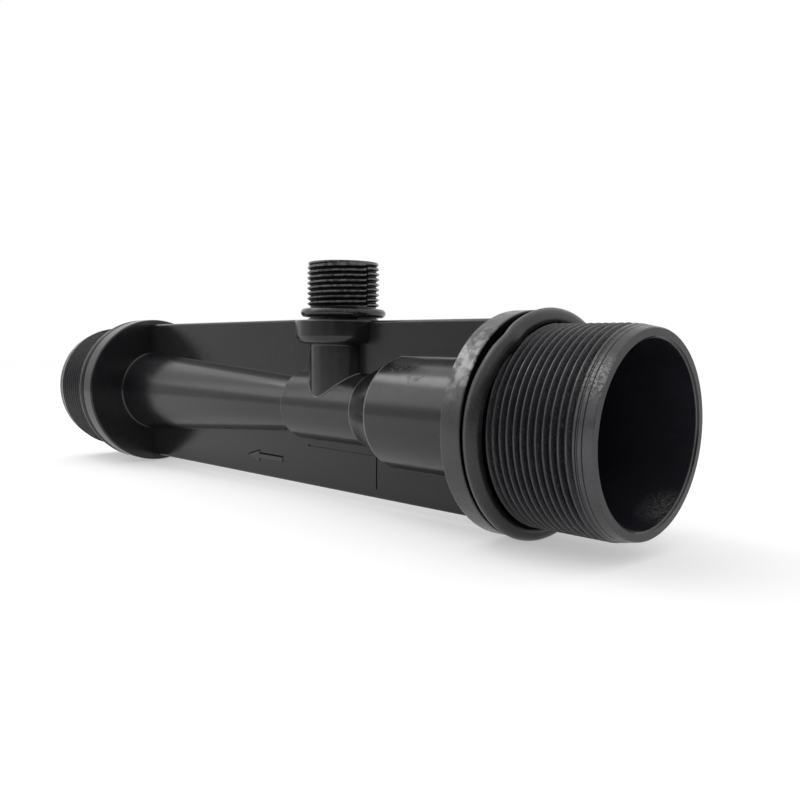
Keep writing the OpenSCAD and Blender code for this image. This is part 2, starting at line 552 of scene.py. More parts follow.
@dataclass
class ThreadedEnd:
    """One end of the body: flange, ring seat, thread and a plain lead at the mouth."""

    name: str
    line: Line
    foot: float
    thread_radius: float
    thread_length: float
    mouth: float
    flange_radius: float
    tube_radius: float
    segments: int = 184
    bare: Surface = Surface.RUBBED
    seat_length: float = 7.0
    seat_radius: float = 28.6
    seat_fillet: float = 0.3
    flange_thickness: float = 7.4
    flange_edge: float = 0.8
    flange_front_edge: float = 0.4
    lead_drop: float = 1.2
    lead_lines: tuple[Point2, ...] = ((27.0, 0.25), (27.5, 0.1), (28.7, 0.2))
    line_half: float = 0.17
    mouth_chamfer: float = 0.3
    mouth_reach: float = 1.0
    mouth_wall: float = 2.0
    thread_start: float = -0.9
    crest_band: float = 0.12
    line_band: float = 0.04
    near: float = 0.05
    bury: float = 1.0
    thread: Thread = Thread(
        form=ThreadForm.NARROW_CREST,
        pitch=2.309,
        depth=1.45,
        crest_at=0.33,
        start_depth=1.1,
        run_out=1.5,
        parting_angle=math.pi / 2,
        nick=0.25,
        mismatch=0.05,
    )

    @property
    def flange_back(self) -> float:
        """The station of the flange's back face."""
        return -self.seat_length - self.flange_thickness

    @property
    def run_out_end(self) -> float:
        """The station at which the thread has run out."""
        return self.thread_length + self.thread.run_out

    def blank(self, station: float) -> float:
        """Give the radius of the thread's blank at a station."""
        return Blank(self.thread_radius, self.thread_length, self.mouth, self.lead_drop).at(station)

    def place(self, station: float) -> float:
        """Give the x of a station."""
        return self.foot + self.line.value[0].x * station

    def station(self, x: float) -> float:
        """Give the station of an x."""
        return (x - self.foot) * self.line.value[0].x

    def surface(self, station: float, radius: float) -> Surface:
        """Tell what kind of surface a place on the end's outside is.

        Args:
            station: The distance from the thread's foot.
            radius: The distance from the flow axis.

        Returns:
            Painted shade on the ring's seat and the flange's front face, flat on the mouth's face,
            painted groove shade in the thread and the lead's lines, and the end's own kind elsewhere.
        """
        at_mouth = station > self.mouth - self.mouth_reach
        if at_mouth and radius < self.blank(self.mouth) - self.mouth_chamfer:
            return Surface.FLAT
        # The flange's front face and the ring's seat get painted shade, where the ring hides them.
        on_front = abs(station + self.seat_length) < self.near
        if on_front and radius < self.flange_radius - self.flange_front_edge:
            return Surface.PAINTED_SHADE
        if -self.seat_length < station < self.thread_start:
            return Surface.PAINTED_SHADE
        # Below a thin band at the crests, the thread's grooves and the lead's lines get painted shade.
        band = self.crest_band if station < self.run_out_end else self.line_band
        threaded = station >= self.thread_start and not at_mouth
        if threaded and radius < self.blank(station) - band:
            return Surface.GROOVE
        return self.bare

    def lead(self) -> list[Point2]:
        """Draw the plain lead with the fine lines that the thread left on it, and the mouth's edge.

        Returns:
            The outline as (station, radius) points.
        """
        start = self.run_out_end + self.near
        outline = [(start, self.blank(start))]
        for station, depth in self.lead_lines:
            for off, share in ((-self.line_half, 0), (0, 1), (self.line_half, 0)):
                outline.append((station + off, self.blank(station + off) - depth * share))
        edge = self.blank(self.mouth)
        outline.append((self.mouth - self.mouth_chamfer, edge))
        outline.append((self.mouth, edge - self.mouth_chamfer))
        outline.append((self.mouth, edge - self.mouth_wall))
        return outline

    def solid(self) -> Piece:
        """Build the end as a closed solid, without its bore.

        Returns:
            The solid.
        """
        turning = Turning(self.line, Vector((self.foot, 0, 0)), self.segments)
        turning.plain(rounded([
            Corner(self.flange_back, self.tube_radius - self.bury),
            Corner(self.flange_back, self.flange_radius, self.flange_edge),
            Corner(-self.seat_length, self.flange_radius, self.flange_front_edge),
            Corner(-self.seat_length, self.seat_radius, self.seat_fillet),
            Corner(self.thread_start, self.seat_radius),
        ]))
        turning.threaded(self.thread, self.thread_start, self.run_out_end, self.blank)
        turning.plain(self.lead())
        return turning.object(self.name)


@dataclass
class VenturiTube:
    """The tube between the flanges, from barrel to diffuser, with the upright web through it."""

    inlet_back: float
    outlet_back: float
    port_station: float
    barrel_radius: float = 19.1
    throat_radius: float = 13.15
    diffuser_start_radius: float = 10.6
    diffuser_end_radius: float = 18.1
    shoulder_length: float = 14.1
    throat_lead: float = 18.3
    throat_tail: float = 21.0
    throat_step: float = 0.5
    inlet_fillet: float = 2.2
    outlet_fillet: float = 0.9
    diffuser_fillet: float = 0.6
    barrel_edge: float = 2.0
    throat_edge: float = 0.5
    port_ring: float = 0.5
    web_thickness: float = 5.0
    web_up: float = 31.4
    web_down: float = 31.0
    web_rise: float = 1.0
    web_edge: float = 1.0
    web_fillet: float = 0.8
    slim_fillet: float = 0.2
    edge_half: float = 0.42
    line_half: float = 0.2
    web_skin: float = 0.02
    tube_skin: float = 0.1
    flare_past: float = 0.01
    flash_height: float = 0.12
    flash_width: float = 0.35
    bury: float = 1.0
    edge_steps: int = 5
    fillet_steps: int = 6
    arc_steps: int = 32

    @property
    def shoulder_end(self) -> float:
        """The station at which the throat tube starts."""
        return self.port_station + self.throat_lead

    @property
    def barrel_end(self) -> float:
        """The station at which the barrel ends."""
        return self.shoulder_end + self.shoulder_length

    @property
    def throat_end(self) -> float:
        """The station at which the throat tube ends."""
        return self.port_station - self.throat_tail

    def surface(self, station: float, radius: float, side: float) -> Surface:
        """Tell what kind of surface a place on the tube is.

        Args:
            station: Where along the flow axis.
            radius: The distance from the flow axis.
            side: The distance from the upright plane through it.

        Returns:
            Flat on the web, a painted highlight on the tube's edges, and tube elsewhere.
        """
        if side < self.web_thickness / 2 + self.web_skin:
            return Surface.FLAT
        if radius > self.barrel_radius + self.tube_skin:
            return Surface.TUBE
        # A painted highlight runs along the barrel's edge, the throat's start and the throat's end.
        on_barrel_edge = abs(station - self.barrel_end) < self.edge_half
        on_throat_start = abs(station - self.shoulder_end) < self.line_half
        if on_barrel_edge or on_throat_start or 0 <= station - self.throat_end < self.throat_edge:
            return Surface.EDGE
        return Surface.TUBE

    def tube_outline(self) -> list[Point2]:
        """Draw the tube's radius along the flow axis, from the inlet flange to the outlet flange.

        Returns:
            The outline as (station, radius) points.
        """
        barrel_flare = self.barrel_radius + self.inlet_fillet + self.flare_past
        diffuser_flare = self.diffuser_end_radius + self.outlet_fillet + self.flare_past
        corners = [
            Corner(self.inlet_back + self.bury, barrel_flare),
            Corner(self.inlet_back, barrel_flare),
            Corner(self.inlet_back, self.barrel_radius, self.inlet_fillet),
            Corner(self.barrel_end, self.barrel_radius, self.barrel_edge),
            Corner(self.shoulder_end, self.throat_radius, self.barrel_edge),
            Corner(self.port_station + self.port_ring, self.throat_radius),
            Corner(self.port_station - self.port_ring, self.throat_radius),
            Corner(self.throat_end, self.throat_radius, self.throat_edge),
            Corner(self.throat_end - self.throat_step, self.diffuser_start_radius, self.diffuser_fillet),
            Corner(self.outlet_back, self.diffuser_end_radius, self.outlet_fillet),
            Corner(self.outlet_back, diffuser_flare),
            Corner(self.outlet_back - self.bury, diffuser_flare),
        ]
        return rounded(corners, FINE_ARC_STEP)

    def web_top(self, station: float) -> float:
        """Give the height of the web's top edge, which rises towards the port from the outlet.

        Args:
            station: Where along the flow axis.

        Returns:
            The height above the flow axis.
        """
        if station > self.port_station:
            return self.web_up
        share = (station - self.outlet_back) / (self.port_station - self.outlet_back)
        return self.web_up + self.web_rise * min(1.0, max(0.0, share))

    def quarter(self, tube_radius: float, height: float, fillet: float) -> list[Point2]:
        """Draw a quarter of the section: web edge, web side, fillet and tube.

        Args:
            tube_radius: The tube's radius.
            height: The web's height.
            fillet: The fillet's radius.

        Returns:
            The points as (side, height), from the web's edge down to the tube's side.
        """
        inner, top = self.web_thickness / 2 - self.web_edge, height - self.web_edge
        centre = self.web_thickness / 2 + fillet
        level = math.sqrt((tube_radius + fillet) ** 2 - centre**2)
        contact = math.atan2(level, centre)
        points = [(0.0, height + self.flash_height), (self.flash_width, height)]
        for i in range(self.edge_steps + 1):
            angle = math.pi / 2 * (1 - i / self.edge_steps)
            points.append((inner + self.web_edge * math.cos(angle), top + self.web_edge * math.sin(angle)))
        for i in range(self.fillet_steps + 1):
            angle = math.pi + contact * i / self.fillet_steps
            points.append((centre + fillet * math.cos(angle), level + fillet * math.sin(angle)))
        for i in range(1, self.arc_steps):
            angle = contact * (1 - i / self.arc_steps)
            points.append((tube_radius * math.cos(angle), tube_radius * math.sin(angle)))
        return points

    def section(self, station: float, tube_radius: float) -> list[Vector]:
        """Draw the whole section at a station.

        Args:
            station: Where along the flow axis.
            tube_radius: The tube's radius there.

        Returns:
            The section's loop of points.
        """
        fillet = self.web_fillet if station > self.barrel_end else self.slim_fillet
        upper = self.quarter(tube_radius, self.web_top(station), fillet)
        lower = [(side, -level) for side, level in self.quarter(tube_radius, self.web_down, fillet)]
        right = upper + [(tube_radius, 0.0)] + lower[::-1]
        left = [(-side, level) for side, level in right[-2:0:-1]]
        return [Vector((station, side, level)) for side, level in right + left]

    def solid(self) -> Piece:
        """Build the tube and the web as one closed solid, without the passage.

        Returns:
            The solid.
        """
        made = ClosedMesh()
        made.row([made.ring(self.section(*point)) for point in self.tube_outline()])
        return made.object("venturi_tube")


@dataclass
class SuctionPort:
    """The port on top: column, collar, step, ring seat and thread."""

    station: float
    thread_foot: float
    thread_radius: float
    thread_length: float
    top: float
    column_radius: float = 12.45
    collar_radius: float = 17.4
    collar_bottom: float = 23.1
    collar_top: float = 31.5
    collar_round: float = 3.0
    collar_edge: float = 0.6
    column_fillet: float = 0.6
    step_radius: float = 12.8
    step_height: float = 0.8
    step_fillet: float = 0.3
    step_edge: float = 0.2
    seat_radius: float = 12.0
    lead_drop: float = 0.4
    lead_length: float = 0.35
    thread_gap: float = 0.1
    mouth_edge: float = 0.3
    bore_radius: float = 9.0
    bore_wall: float = 1.0
    bead_radius: float = 0.3
    bead_steps: int = 10
    bead_band: float = 0.42
    bead_back: float = 2.0
    cut_depth: float = 1.8
    cut_outside: float = 1.0
    cut_width: float = 0.4
    cut_spread: Point2 = (1.3, 0.7)
    cut_spread_rate: float = 3.7
    cut_sway: float = 0.18
    cut_sway_rate: float = 2.1
    cut_start: float = 0.4
    cut_past: float = 0.5
    cut_steps: int = 22
    groove_below: float = 0.26
    segments: int = 112
    thread: Thread = Thread(
        form=ThreadForm.ROUNDED,
        pitch=1.814,
        depth=1.2,
        crest_at=0.38,
        start_depth=1.2,
        run_out=1.3,
        parting_angle=0.0,
        nick=0.0,
        mismatch=-0.36,
        ridge_power=1.3,
    )

    @property
    def mouth(self) -> float:
        """The height of the port's top above the thread's foot."""
        return self.top - self.thread_foot

    def blank(self, height: float) -> float:
        """Give the radius of the thread's blank at a height above the thread's foot."""
        return Blank(self.thread_radius, self.thread_length, self.mouth, self.lead_drop).at(height)

    def solid(self) -> Piece:
        """Build the port as a closed solid, without its bore.

        Returns:
            The solid.
        """
        turning = Turning(Line.PORT, Vector((self.station, 0, self.thread_foot)), self.segments)
        low, high = self.collar_bottom - self.thread_foot, self.collar_top - self.thread_foot
        step_top = high + self.step_height
        thread_end = self.mouth - self.lead_length
        lead_start = thread_end + self.thread_gap
        turning.plain(rounded([
            Corner(-self.thread_foot, self.column_radius),
            Corner(low, self.column_radius, self.column_fillet),
            Corner(low, self.collar_radius, self.collar_round),
            Corner(high, self.collar_radius, self.collar_edge),
            Corner(high, self.step_radius, self.step_fillet),
            Corner(step_top, self.step_radius, self.step_edge),
            Corner(step_top, self.seat_radius, self.step_edge),
            Corner(0, self.seat_radius),
        ]))
        turning.threaded(self.thread, 0, thread_end, self.blank)
        turning.plain(rounded([
            Corner(lead_start, self.blank(lead_start)),
            Corner(self.mouth, self.blank(self.mouth), self.mouth_edge),
            Corner(self.mouth, self.bore_radius - self.bore_wall),
        ]))
        return turning.object("suction_port")

    def root_bead(self, tube_radius: float) -> Piece:
        """Build the fine bead where the column meets the tube.

        Args:
            tube_radius: The tube's radius.

        Returns:
            The bead as a closed solid.
        """
        made = ClosedMesh()
        rings = []
        turns = [FULL_TURN * j / self.bead_steps for j in range(self.bead_steps)]
        for i in range(self.segments):
            angle = FULL_TURN * i / self.segments
            out = Vector((math.cos(angle), math.sin(angle), 0))
            side = self.column_radius * out.y
            level = math.sqrt(tube_radius**2 - side**2)
            place = Vector((self.station + self.column_radius * out.x, side, level))
            along = Vector((-out.y, out.x, -side * out.x / level)).normalized()
            first = (out - along * out.dot(along)).normalized() * self.bead_radius
            second = along.cross(first)
            rings.append(made.ring([place + first * math.cos(t) + second * math.sin(t) for t in turns]))
        made.row(rings, endless=True)
        return made.object("column_bead")

    def parting_cut(self, name: str, angle: float) -> Piece:
        """Build the ragged groove that the mould's parting left down the thread.

        Args:
            name: The groove's name.
            angle: Its angle about the port's line.

        Returns:
            The groove as a closed solid to cut out.
        """
        out = Vector((math.cos(angle), math.sin(angle), 0))
        across = Vector((-out.y, out.x, 0))
        low, high = self.thread_foot + self.cut_start, self.top + self.cut_past
        root = out * (self.thread_radius - self.cut_depth)
        outer = out * (self.thread_radius + self.cut_outside)
        mean, swing = self.cut_spread
        made = ClosedMesh()
        rings = []
        for i in range(self.cut_steps + 1):
            level = low + (high - low) * i / self.cut_steps
            sway = self.cut_sway * math.sin(self.cut_sway_rate * i)
            middle = Vector((self.station, 0, level)) + across * sway
            width = across * self.cut_width * (mean + swing * math.sin(self.cut_spread_rate * i))
            rings.append(made.ring([middle + root, middle + outer + width, middle + outer - width]))
        made.row(rings)
        return made.object(name)

    def parting_cuts(self) -> list[Piece]:
        """Build the grooves at both sides of the thread."""
        return [self.parting_cut("near_parting", 0.0), self.parting_cut("far_parting", math.pi)]

    def surface(self, place: Vector) -> Surface:
        """Tell what kind of surface a place on the port is.

        Args:
            place: The place.

        Returns:
            A painted highlight on the thread's ridges, painted shade between them, and tube elsewhere.
        """
        height = place.z - self.thread_foot
        radius = math.hypot(place.x - self.station, place.y)
        if height < 0 or radius < self.bore_radius + self.bore_wall:
            return Surface.TUBE
        # The thread's ridges get a painted highlight and its grooves painted shade.
        return Surface.EDGE if radius > self.blank(height) - self.groove_below else Surface.PAINTED_SHADE

    def on_bead(self, place: Vector, tube_radius: float) -> bool:
        """Tell whether a place is on the bead at the column's foot, on the inlet's side.

        Args:
            place: The place.
            tube_radius: The tube's radius.

        Returns:
            Whether it is.
        """
        off_column = math.hypot(place.x - self.station, place.y) - self.column_radius
        off_tube = place.yz.length - tube_radius
        inlet_side = place.x > self.station - self.bead_back and place.z > 0
        return inlet_side and 0 < off_column < self.bead_band and 0 < off_tube < self.bead_band


@dataclass
class WaterWay:
    """The passage through the body and the hole down the port, as shapes to cut out."""

    inlet: ThreadedEnd
    outlet: ThreadedEnd
    port: SuctionPort
    mouth_radius: float = 25.7
    mouth_chamfer: float = 0.6
    mouth_round: float = 0.6
    edge_half: float = 0.25
    mouth_run: float = 4.0
    turn_round: float = 3.0
    barrel_radius: float = 15.5
    converge_length: float = 32.0
    converge_round: float = 6.0
    nozzle_radius: float = 6.0
    nozzle_land: float = 4.0
    nozzle_round: float = 4.0
    nozzle_tip: float = 5.0
    throat_radius: float = 7.5
    throat_tail: float = 18.7
    throat_round: float = 8.0
    diffuser_end_radius: float = 14.5
    hole_radius: float = 5.5
    hole_edge: float = 0.4
    port_radius: float = 9.0
    port_floor: float = 13.95
    port_round: float = 1.0
    port_chamfer: float = 0.5
    port_edge: float = 0.2
    overrun: float = 1.0
    segments: int = 112

    def flow_passage(self) -> Piece:
        """Build the passage along the flow axis.

        Returns:
            The passage as a closed solid to cut out.
        """
        wide = self.mouth_radius + self.mouth_chamfer
        in_mouth, out_mouth = self.inlet.place(self.inlet.mouth), self.outlet.place(self.outlet.mouth)
        nozzle_end = self.port.station + self.nozzle_tip
        nozzle_start = nozzle_end + self.nozzle_land
        turning = Turning(Line.INLET, Vector((0, 0, 0)), self.segments)
        turning.plain(rounded([
            Corner(out_mouth - self.overrun, wide),
            Corner(out_mouth, wide),
            Corner(out_mouth + self.mouth_chamfer, self.mouth_radius, self.mouth_round),
            Corner(self.outlet.foot + self.mouth_run, self.mouth_radius, self.turn_round),
            Corner(self.outlet.place(self.outlet.flange_back), self.diffuser_end_radius, self.turn_round),
            Corner(self.port.station - self.throat_tail, self.throat_radius, self.throat_round),
            Corner(nozzle_end, self.throat_radius),
            Corner(nozzle_end, self.nozzle_radius),
            Corner(nozzle_start, self.nozzle_radius, self.nozzle_round),
            Corner(nozzle_start + self.converge_length, self.barrel_radius, self.converge_round),
            Corner(self.inlet.place(self.inlet.flange_back), self.barrel_radius, self.turn_round),
            Corner(self.inlet.foot - self.mouth_run, self.mouth_radius, self.turn_round),
            Corner(in_mouth - self.mouth_chamfer, self.mouth_radius, self.mouth_round),
            Corner(in_mouth, wide),
            Corner(in_mouth + self.overrun, wide),
        ]))
        return turning.object("flow_passage")

    def suction_passage(self) -> Piece:
        """Build the hole down the port.

        Returns:
            The hole as a closed solid to cut out.
        """
        wide, top = self.port_radius + self.port_chamfer, self.port.top
        cone_top = self.port_floor + self.port_radius - self.hole_radius
        turning = Turning(Line.PORT, Vector((self.port.station, 0, 0)), self.segments)
        turning.plain(rounded([
            Corner(0, self.hole_radius),
            Corner(self.port_floor, self.hole_radius, self.hole_edge),
            Corner(cone_top, self.port_radius, self.port_round),
            Corner(top - self.port_chamfer, self.port_radius, self.port_edge),
            Corner(top, wide),
            Corner(top + self.overrun, wide),
        ]))
        return turning.object("suction_passage")


@dataclass
class WebMarks:
    """The raised flow arrow on the web's front face and the lines that the mould left there."""

    front: float
    tip: float = -152.1
    head_back: float = -143.5
    shaft_end: float = -127.7
    level: float = -22.9
    head_half: float = 2.45
    shaft_half: float = 1.2
    head_grow: float = 1.3
    tip_grow: float = 3.5
    arrow_height: float = 0.35
    arrow_draft: float = 0.3
    shade_shift: Point2 = (0.3, 0.35)
    line_width: float = 0.6
    line_depth: float = 0.5
    overrun: float = 1.0
    upright: tuple[Point2, Point2] = ((-72.9, -15.4), (-72.7, -27.6))
    under_throat: tuple[Point2, Point2] = ((-111.5, -15.45), (-74.5, -15.7))
    beside_column: tuple[Point2, Point2] = ((-106.5, 12.9), (-106.5, 23.0))

    def arrow_outline(self, grow: float) -> list[Point2]:
        """Draw the arrow.

        Args:
            grow: How far its edges are moved out.

        Returns:
            The outline as (x, z) points.
        """
        head, shaft = self.head_half + self.head_grow * grow, self.shaft_half + grow
        back, end = self.head_back + grow, self.shaft_end + grow
        upper = [(back, head), (back, shaft), (end, shaft)]
        lower = [(x, -z) for x, z in reversed(upper)]
        outline = [(self.tip - self.tip_grow * grow, 0.0), *upper, *lower]
        return [(x, self.level + z) for x, z in outline]

    def arrow(self) -> Piece:
        """Build the arrow with sloped sides.

        Returns:
            The arrow as a closed solid to add.
        """
        made = ClosedMesh()
        slope = self.arrow_draft / self.arrow_height
        loops = []
        for height in (-2 * self.line_depth, self.arrow_height):
            outline = self.arrow_outline(-slope * height)
            loops.append(made.ring([Vector((x, self.front - height, z)) for x, z in outline]))
        made.row(loops)
        return made.object("flow_arrow")

    def cut(self, name: str, outline: Sequence[Point2]) -> Piece:
        """Make a shallow cut into the web's front face from its outline."""
        return prism(name, outline, self.front - self.overrun, self.front + self.line_depth)

    def mould_line(self, name: str, ends: tuple[Point2, Point2]) -> Piece:
        """Build one mould line as a thin solid to cut out.

        Args:
            name: The line's name.
            ends: Its two ends as (x, z).

        Returns:
            The solid.
        """
        start, end = Vector(ends[0]), Vector(ends[1])
        along = (end - start).normalized()
        side = Vector((-along.y, along.x)) * self.line_width / 2
        return self.cut(name, [tuple(p) for p in (start + side, end + side, end - side, start - side)])

    def mould_lines(self) -> list[Piece]:
        """Build the mould lines."""
        return [
            self.mould_line("upright_line", self.upright),
            self.mould_line("throat_line", self.under_throat),
            self.mould_line("column_line", self.beside_column),
        ]

    def arrow_shade(self) -> Piece:
        """Build the fine step above and behind the arrow, to cut out before the arrow is added."""
        right, up = self.shade_shift
        return self.cut("arrow_shade", [(x + right, z + up) for x, z in self.arrow_outline(0)])


class Graph:
    """A node tree that is being wired."""

    def __init__(self, tree: bpy.types.NodeTree) -> None:
        """Start with an empty tree."""
        self.tree = tree
        tree.nodes.clear()

    def node(self, kind: str, **inputs: object) -> bpy.types.Node:
        """Add a node.

        Args:
            kind: The node's type, without its Shader prefix.
            inputs: Values or output sockets for its inputs, by name with _ for a space.

        Returns:
            The node.
        """
        made = self.tree.nodes.new("ShaderNode" + kind)
        for name, value in inputs.items():
            self.feed(made.inputs[name.replace("_", " ")], value)
        return made

    def feed(self, socket: Socket, value: object) -> None:
        """Set an input to a value or link it to an output.

        Args:
            socket: The input.
            value: A value, or the output socket to link.
        """
        if isinstance(value, Socket):
            self.tree.links.new(value, socket)
        else:
            socket.default_value = value

    def noise(self, where: Socket, size: float, detail: float, roughness: float = 0.55) -> Socket:
        """Add a noise of a feature size in millimetres.

        Args:
            where: The coordinates.
            size: The feature size.
            detail: The octaves of finer detail.
            roughness: How strong that detail is.

        Returns:
            The noise, about 0 to 1.
        """
        scale = 1 / (size * MM)
        made = self.node("TexNoise", Vector=where, Scale=scale, Detail=detail, Roughness=roughness)
        return made.outputs["Fac"]

    def spread(self, value: Socket, span: Point2, to: Point2 = (0, 1)) -> Socket:
        """Map a range of values to another, clamped.

        Args:
            value: The value.
            span: The values that give the two results.
            to: The two results.

        Returns:
            The mapped value.
        """
        made = self.node("MapRange", Value=value, From_Min=span[0], From_Max=span[1])
        made.inputs["To Min"].default_value, made.inputs["To Max"].default_value = to
        return made.outputs["Result"]

    def blend(self, share: Socket, first: Colour | Socket, second: Colour) -> Socket:
        """Blend two colours.

        Args:
            share: The second colour's share.
            first: The first colour.
            second: The second colour.

        Returns:
            The blended colour.
        """
        made = self.tree.nodes.new("ShaderNodeMix")
        made.data_type = "RGBA"
        for index, value in ((MIX_SHARE, share), (MIX_FIRST, first), (MIX_SECOND, second)):
            self.feed(made.inputs[index], value)
        return made.outputs[MIX_RESULT]

    def math(self, how: str, first: Socket, second: Socket | float) -> Socket:
        """Combine two values.

        Args:
            how: Blender's name of the operation.
            first: One value.
            second: The other value.

        Returns:
            The result.
        """
        made = self.tree.nodes.new("ShaderNodeMath")
        made.operation = how
        self.feed(made.inputs[0], first)
        self.feed(made.inputs[1], second)
        return made.outputs[0]

    def bump(self, height: Socket, distance: float, under: Socket | None = None) -> Socket:
        """Add a bump.

        Args:
            height: The relief, 0 to 1.
            distance: The relief's height in millimetres.
            under: The normal of a coarser bump below it.

        Returns:
            The bumped normal.
        """
        made = self.node("Bump", Height=height, Distance=distance * MM, Strength=1.0)
        if under is not None:
            self.feed(made.inputs["Normal"], under)
        return made.outputs["Normal"]

    def plastic(self, base: Socket, roughness: Socket, normal: Socket, index: float) -> None:
        """End the tree in a plastic or rubber shader.

        Args:
            base: The colour.
            roughness: The roughness.
            normal: The bumped normal.
            index: The index of refraction.
        """
        shader = self.node("BsdfPrincipled", Base_Color=base, Roughness=roughness, Normal=normal)
        shader.inputs["IOR"].default_value = index
        self.node("OutputMaterial", Surface=shader.outputs["BSDF"]).is_active_output = True


def new_material(name: str) -> tuple[bpy.types.Material, Graph]:
    """Make a material with an empty node tree.

    Args:
        name: The material's name.

    Returns:
        The material and its graph.
    """
    material = bpy.data.materials.new(name)
    material.use_nodes = True
    return material, Graph(material.node_tree)


@dataclass(frozen=True)
class WearAndSheenSpot:
    """A mottled spot of another tone and roughness, for worn, dull and dusty patches and for painted
    highlights.
    """

    place: Point3
    reach: float
    size: float
    tone: Colour
    roughness: float
    core: float = 0.3
    blots: Point2 = (0.42, 0.6)

    def mask(self, graph: Graph, where: Socket) -> Socket:
        """Wire how strongly a place lies in the spot.

        Args:
            graph: The finish's graph.
            where: The coordinates.

        Returns:
            The spot's strength, 0 to 1.
        """
        far = graph.tree.nodes.new("ShaderNodeVectorMath")
        far.operation = "DISTANCE"
        graph.feed(far.inputs[0], where)
        graph.feed(far.inputs[1], Vector(self.place) * MM)
        reach = self.reach * MM
        near = graph.spread(far.outputs["Value"], (self.core * reach, reach), (1, 0))
        blotted = graph.spread(graph.noise(where, self.size, detail=4), self.blots)
        return graph.math("MULTIPLY", near, blotted)


@dataclass(frozen=True)
class MouldedPlastic:
    """Black moulded plastic with flow marks, fine grain, light scuffs, specks of dust and mottled spots,
    some of which are painted highlights.
    """

    name: str
    dark: Colour
    pale: Colour
    dust: Colour = (0.04, 0.04, 0.039, 1)
    gloss: Point2 = (0.19, 0.27)
    flow_size: float = 9
    flow_height: float = 0.012
    stretch: float = 1.0
    grain_size: float = 0.5
    grain_height: float = 0.002
    dust_level: float = 0.8
    spots: tuple[WearAndSheenSpot, ...] = ()
    index: float = 1.5
    cloud_size: float = 24
    clouded: Point2 = (0.35, 0.7)
    scuff_size: float = 3.1
    scuffed: Point2 = (0.45, 0.75)
    worn: Point2 = (0, 0.45)
    speck_size: float = 0.55
    speck_step: float = 0.06
    dust_share: float = 0.7

    def material(self) -> bpy.types.Material:
        """Wire the finish.

        Returns:
            The material.
        """
        material, graph = new_material(self.name)
        where = graph.node("TexCoord").outputs["Object"]
        drawn_out = graph.node("Mapping", Vector=where, Scale=(1 / self.stretch, 1, 1)).outputs["Vector"]
        flow = graph.noise(drawn_out, self.flow_size, detail=3)
        grain = graph.noise(where, self.grain_size, detail=2)
        clouds = graph.noise(where, self.cloud_size, detail=4)
        scuffs = graph.noise(where, self.scuff_size, detail=6)
        specks = graph.noise(where, self.speck_size, detail=1)
        dust = graph.spread(specks, (self.dust_level, self.dust_level + self.speck_step))
        dusty = graph.math("MULTIPLY", dust, self.dust_share)
        tone = graph.blend(graph.spread(clouds, self.clouded), self.dark, self.pale)
        base = graph.blend(dusty, tone, self.dust)
        wear = graph.math("MULTIPLY", graph.spread(scuffs, self.scuffed), clouds)
        roughness = graph.math("MAXIMUM", graph.spread(wear, self.worn, self.gloss), dusty)
        # Each spot blends in its tone and roughness: wear and dust, and on the rubbed ends painted
        # highlights.
        for spot in self.spots:
            worn = spot.mask(graph, where)
            base = graph.blend(worn, base, spot.tone)
            roughness = graph.math("MAXIMUM", roughness, graph.math("MULTIPLY", worn, spot.roughness))
        normal = graph.bump(grain, self.grain_height, graph.bump(flow, self.flow_height))
        graph.plastic(base, roughness, normal, self.index)
        return material


@dataclass(frozen=True)
class DullRubber:
    """Dull black rubber with a fine grain and dust that sticks to it."""

    name: str
    dark: Colour
    pale: Colour
    dust: Colour
    gloss: Point2
    cloud_size: float = 9
    clouded: Point2 = (0.3, 0.75)
    cloud_height: float = 0.12
    grain_size: float = 0.4
    grain_height: float = 0.03
    speck_size: float = 0.5
    speckled: Point2 = (0.6, 0.72)
    dusted: Point2 = (0.4, 0.7)
    dust_share: Point2 = (0.1, 1)
    index: float = 1.5

    def material(self) -> bpy.types.Material:
        """Wire the finish.

        Returns:
            The material.
        """
        material, graph = new_material(self.name)
        where = graph.node("TexCoord").outputs["Object"]
        clouds = graph.noise(where, self.cloud_size, detail=4)
        grain = graph.noise(where, self.grain_size, detail=3)
        specks = graph.spread(graph.noise(where, self.speck_size, detail=1), self.speckled)
        dusty = graph.math("MULTIPLY", specks, graph.spread(clouds, self.dusted, self.dust_share))
        tone = graph.blend(graph.spread(clouds, self.clouded), self.dark, self.pale)
        roughness = graph.spread(clouds, self.clouded, self.gloss)
        normal = graph.bump(grain, self.grain_height, graph.bump(clouds, self.cloud_height))
        graph.plastic(graph.blend(dusty, tone, self.dust), roughness, normal, self.index)
        return material


